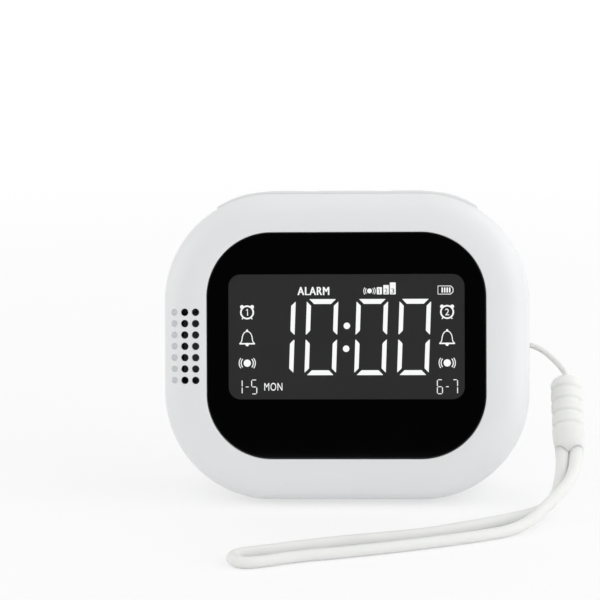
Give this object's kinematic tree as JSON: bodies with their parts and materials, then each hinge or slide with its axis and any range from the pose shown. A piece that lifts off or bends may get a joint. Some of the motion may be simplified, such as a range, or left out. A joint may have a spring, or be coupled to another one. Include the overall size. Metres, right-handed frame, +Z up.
{
  "type": "vibrating alarm clock",
  "caption": "Pillow-shaped vibrating alarm clock with a dark digital display, keys in a strip over its top edge, a speaker grille beside the display and a silicone wrist strap on a pin.",
  "frame": {"origin": "on the table, under the middle of the clock's box without its strap", "axes": "+X to the right as one reads the display, +Y to the rear, +Z up"},
  "size_m": [0.1034, 0.089, 0.0751],
  "materials": {
    "case_white": "satin moulded",
    "key_white": "fine matt",
    "lens_black": "polished, printed black behind",
    "display_glass": "dark display glass",
    "light_guide": "milky",
    "black_plastic": "moulded",
    "board_green": "solder mask",
    "flex_amber": "polyimide film",
    "bare_steel": "plated",
    "dark_rubber": "soft matt",
    "cone_film": "thin film",
    "heavy_alloy": "sintered",
    "cell_film": "laminated pouch",
    "silicone_white": "satin silicone",
    "cord_white": "braided"
  },
  "bodies": {
    "case": {"front_shell": "case_white", "rear_shell": "case_white", "front_lens": "lens_black", "lcd_panel": "display_glass", "backlight_panel": "light_guide", "lcd_frame": "black_plastic", "main_board": "board_green", "key_strip": "key_white", "key_flex": "flex_amber", "switch_far_left": "black_plastic", "switch_left": "black_plastic", "switch_centre": "black_plastic", "switch_right": "black_plastic", "switch_far_right": "black_plastic", "speaker_gasket": "dark_rubber", "speaker_frame": "black_plastic", "speaker_cone": "cone_film", "speaker_magnet": "bare_steel", "motor_can": "bare_steel", "motor_boot": "dark_rubber", "battery_cell": "cell_film", "charge_board": "board_green", "usb_socket": "bare_steel", "strap_pin": "bare_steel", "battery_lead": "dark_rubber", "motor_lead": "dark_rubber", "speaker_lead": "dark_rubber", "board_screw_upper_left": "bare_steel", "board_screw_upper_right": "bare_steel", "board_screw_lower_left": "bare_steel", "board_screw_lower_right": "bare_steel", "case_screw_upper_left": "bare_steel", "case_screw_upper_right": "bare_steel", "case_screw_lower_left": "bare_steel", "case_screw_lower_right": "bare_steel", "strap_cord": "cord_white", "strap_loop": "silicone_white", "strap_bead": "silicone_white"},
    "far_left_key": {"key_far_left": "key_white", "plunger_far_left": "black_plastic"},
    "left_key": {"key_left": "key_white", "plunger_left": "black_plastic"},
    "centre_key": {"key_centre": "key_white", "plunger_centre": "black_plastic"},
    "right_key": {"key_right": "key_white", "plunger_right": "black_plastic"},
    "far_right_key": {"key_far_right": "key_white", "plunger_far_right": "black_plastic"},
    "motor_rotor": {"motor_shaft": "bare_steel", "eccentric_weight": "heavy_alloy"}
  },
  "joints": [
    {"name": "far_left_key_press", "type": "slide", "parent": "case", "child": "far_left_key", "axis": [0.3153, -0.1973, -0.9283], "range_m": [0, 0.0005], "stiffness_N_per_m": 1500},
    {"name": "left_key_press", "type": "slide", "parent": "case", "child": "left_key", "axis": [0, -0.2079, -0.9781], "range_m": [0, 0.0005], "stiffness_N_per_m": 1500},
    {"name": "centre_key_press", "type": "slide", "parent": "case", "child": "centre_key", "axis": [0, -0.2079, -0.9781], "range_m": [0, 0.0005], "stiffness_N_per_m": 1500},
    {"name": "right_key_press", "type": "slide", "parent": "case", "child": "right_key", "axis": [0, -0.2079, -0.9781], "range_m": [0, 0.0005], "stiffness_N_per_m": 1500},
    {"name": "far_right_key_press", "type": "slide", "parent": "case", "child": "far_right_key", "axis": [-0.3153, -0.1973, -0.9283], "range_m": [0, 0.0005], "stiffness_N_per_m": 1500},
    {"name": "motor_spin", "type": "hinge", "parent": "case", "child": "motor_rotor", "pos_m": [0.0065, -0.00062, 0.01125], "axis": [1, 0, 0], "continuous": true}
  ]
}
